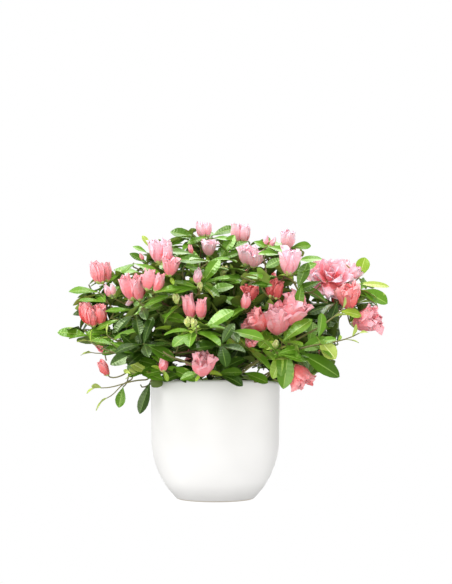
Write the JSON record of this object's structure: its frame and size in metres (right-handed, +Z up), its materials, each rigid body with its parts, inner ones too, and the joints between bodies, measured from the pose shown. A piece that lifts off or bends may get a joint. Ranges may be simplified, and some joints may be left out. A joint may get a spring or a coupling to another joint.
{
  "type": "potted azalea shrub",
  "caption": "Flowering azalea shrub in a round white pot: short trunk, spreading boughs and a broad domed crown of small leaves and double pink blooms.",
  "frame": {"origin": "centre of the flat underside of the pot, where it stands", "axes": "+Z up, +X to the plant's right as seen from its front, -Y its front"},
  "size_m": [0.3543, 0.3214, 0.3053],
  "materials": {
    "glaze": "smooth white satin glaze",
    "soil": "loose dark peat",
    "bark": "finely furrowed brown bark, olive on the young twigs",
    "foliage": "glossy small green leaves, yellow-green when young",
    "blossom": "soft pink double petals, coral inside"
  },
  "bodies": {
    "root": {"bough_crown_back": "bark", "bough_crown_left": "bark", "bough_crown_right": "bark", "bough_shoulder_back_left": "bark", "bough_shoulder_back_right": "bark", "bough_shoulder_front_left": "bark", "bough_shoulder_front_right": "bark", "bough_shoulder_left": "bark", "bough_shoulder_right": "bark", "bough_skirt_back": "bark", "bough_skirt_back_left": "bark", "bough_skirt_back_right": "bark", "bough_skirt_front": "bark", "bough_skirt_front_left": "bark", "bough_skirt_front_right": "bark", "bough_skirt_left": "bark", "bough_skirt_right": "bark", "foliage_crown_back": "foliage", "foliage_crown_left": "foliage", "foliage_crown_right": "foliage", "foliage_shoulder_back_left": "foliage", "foliage_shoulder_back_right": "foliage", "foliage_shoulder_front_left": "foliage", "foliage_shoulder_front_right": "foliage", "foliage_shoulder_left": "foliage", "foliage_shoulder_right": "foliage", "foliage_skirt_back": "foliage", "foliage_skirt_back_left": "foliage", "foliage_skirt_back_right": "foliage", "foliage_skirt_front": "foliage", "foliage_skirt_front_left": "foliage", "foliage_skirt_front_right": "foliage", "foliage_skirt_left": "foliage", "foliage_skirt_right": "foliage", "pot": "glaze", "soil": "soil", "trunk": "bark"}
  },
  "joints": []
}
